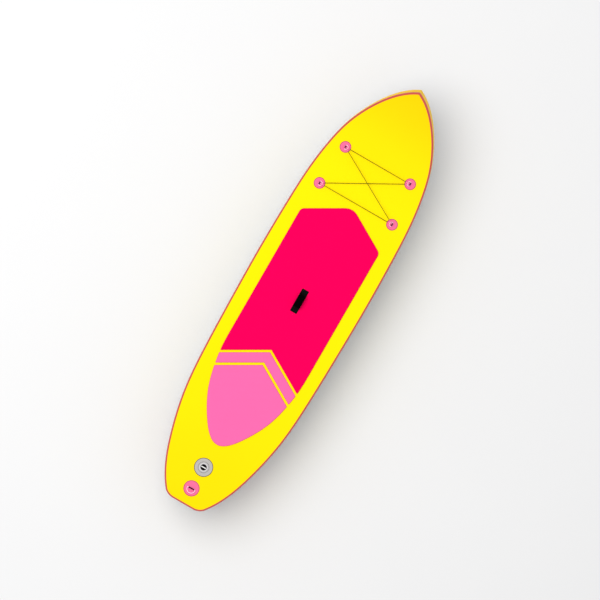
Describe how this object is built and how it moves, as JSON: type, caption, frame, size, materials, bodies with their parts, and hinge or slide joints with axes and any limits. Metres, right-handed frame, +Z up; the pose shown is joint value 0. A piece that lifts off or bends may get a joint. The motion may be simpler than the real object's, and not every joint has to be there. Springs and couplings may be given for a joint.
{
  "type": "stand up paddleboard",
  "caption": "Inflatable stand up paddleboard with foam deck pads, carry handle, cargo bungee, leash ring, inflation valve and fins.",
  "frame": {"origin": "on the flat bottom face of the hull, on the centre plane, at mid length", "axes": "+X towards the nose, +Y to port, +Z up out of the deck"},
  "size_m": [3.201, 0.83, 0.4622],
  "materials": {
    "yellow_pvc": "satin coated fabric",
    "white_pvc": "satin coated fabric",
    "pink_tape": "satin coated fabric",
    "pink_patch": "satin coated fabric",
    "light_pink_plastic": "moulded, glossy",
    "maroon_webbing": "woven webbing",
    "magenta_foam": "grooved closed-cell foam",
    "pink_foam": "grooved closed-cell foam",
    "black_pvc": "coated fabric",
    "black_webbing": "woven webbing",
    "black_neoprene": "padded grip cover",
    "bungee_cover": "braided elastic cord",
    "core_fabric": "woven polyester",
    "grey_pvc": "satin coated fabric",
    "valve_plastic": "moulded",
    "grey_plastic": "moulded",
    "dark_plastic": "moulded",
    "black_rubber": "seal",
    "steel": "stainless",
    "brass": "plain",
    "pink_fin": "moulded"
  },
  "bodies": {
    "board": {"bungee_cord": "bungee_cover", "bungee_patch_front_port": "pink_patch", "bungee_patch_front_starboard": "pink_patch", "bungee_patch_rear_port": "pink_patch", "bungee_patch_rear_starboard": "pink_patch", "bungee_tab_front_port": "maroon_webbing", "bungee_tab_front_starboard": "maroon_webbing", "bungee_tab_rear_port": "maroon_webbing", "bungee_tab_rear_starboard": "maroon_webbing", "core_fabric_bottom": "core_fabric", "core_fabric_top": "core_fabric", "deck_pad_main": "magenta_foam", "deck_pad_stripe": "pink_foam", "deck_pad_tail": "pink_foam", "deck_seam_tape": "pink_tape", "deck_skin": "yellow_pvc", "drop_stitch_threads": "core_fabric", "fin_box": "dark_plastic", "fin_box_patch": "pink_patch", "handle_grip": "black_neoprene", "handle_patch": "black_pvc", "handle_strap": "black_webbing", "hull_seam_tape": "yellow_pvc", "hull_skin": "white_pvc", "leash_patch": "pink_patch", "leash_tab": "maroon_webbing", "rail_inner_port": "yellow_pvc", "rail_inner_starboard": "yellow_pvc", "rail_outer_port": "yellow_pvc", "rail_outer_starboard": "yellow_pvc", "side_fin_patch_port": "pink_patch", "side_fin_patch_starboard": "pink_patch", "side_fin_port": "pink_fin", "side_fin_starboard": "pink_fin", "valve_gasket": "black_rubber", "valve_housing": "grey_plastic", "valve_nut": "dark_plastic", "valve_patch": "grey_pvc", "valve_spring": "steel"},
    "leash_ring": {"leash_ring": "light_pink_plastic"},
    "valve_cap_washer": {"valve_cap_washer": "black_rubber"},
    "valve_cap": {"valve_cap": "valve_plastic"},
    "valve_stem": {"valve_stem": "dark_plastic", "valve_seal": "black_rubber"},
    "centre_fin": {"centre_fin": "pink_fin", "fin_pin": "steel", "fin_plate": "brass"},
    "fin_screw": {"fin_screw": "steel"},
    "bungee_ring_rear_port": {"bungee_ring_rear_port": "light_pink_plastic"},
    "bungee_ring_rear_starboard": {"bungee_ring_rear_starboard": "light_pink_plastic"},
    "bungee_ring_front_port": {"bungee_ring_front_port": "light_pink_plastic"},
    "bungee_ring_front_starboard": {"bungee_ring_front_starboard": "light_pink_plastic"}
  },
  "joints": [
    {"name": "bungee_ring_rear_port_swing", "type": "hinge", "parent": "board", "child": "bungee_ring_rear_port", "pos_m": [0.71995, 0.28, 0.15576], "axis": [-1, 0, -0.009], "range_deg": [-3, 5]},
    {"name": "bungee_ring_rear_starboard_swing", "type": "hinge", "parent": "board", "child": "bungee_ring_rear_starboard", "pos_m": [0.71995, -0.28, 0.15576], "axis": [1, 0, 0.009], "range_deg": [-3, 5]},
    {"name": "bungee_ring_front_port_swing", "type": "hinge", "parent": "board", "child": "bungee_ring_front_port", "pos_m": [1.01458, 0.25, 0.16815], "axis": [-0.9972, 0, -0.075], "range_deg": [-3, 5]},
    {"name": "bungee_ring_front_starboard_swing", "type": "hinge", "parent": "board", "child": "bungee_ring_front_starboard", "pos_m": [1.01458, -0.25, 0.16815], "axis": [0.9972, 0, 0.075], "range_deg": [-3, 5]},
    {"name": "leash_ring_swing", "type": "hinge", "parent": "board", "child": "leash_ring", "pos_m": [-1.479, 0, 0.15608], "axis": [0, 1, 0], "range_deg": [0, 178]},
    {"name": "valve_cap_turn", "type": "hinge", "parent": "board", "child": "valve_cap_washer", "pos_m": [-1.3165, 0, 0.155], "axis": [0, 0, 1], "range_deg": [0, 90]},
    {"name": "valve_cap_lift", "type": "slide", "parent": "valve_cap_washer", "child": "valve_cap", "axis": [0, 0, 1], "range_m": [0, 0.04]},
    {"name": "valve_stem_push", "type": "slide", "parent": "board", "child": "valve_stem", "axis": [0, 0, -1], "range_m": [0, 0.005], "stiffness_N_per_m": 600, "springref_m": -0.004, "deforming": ["valve_spring"]},
    {"name": "centre_fin_slide", "type": "slide", "parent": "board", "child": "centre_fin", "axis": [1, 0, 0], "range_m": [-0.04, 0.04]},
    {"name": "fin_screw_turn", "type": "hinge", "parent": "centre_fin", "child": "fin_screw", "pos_m": [-1.21, 0, -0.0275], "axis": [0, 0, 1], "continuous": true}
  ]
}
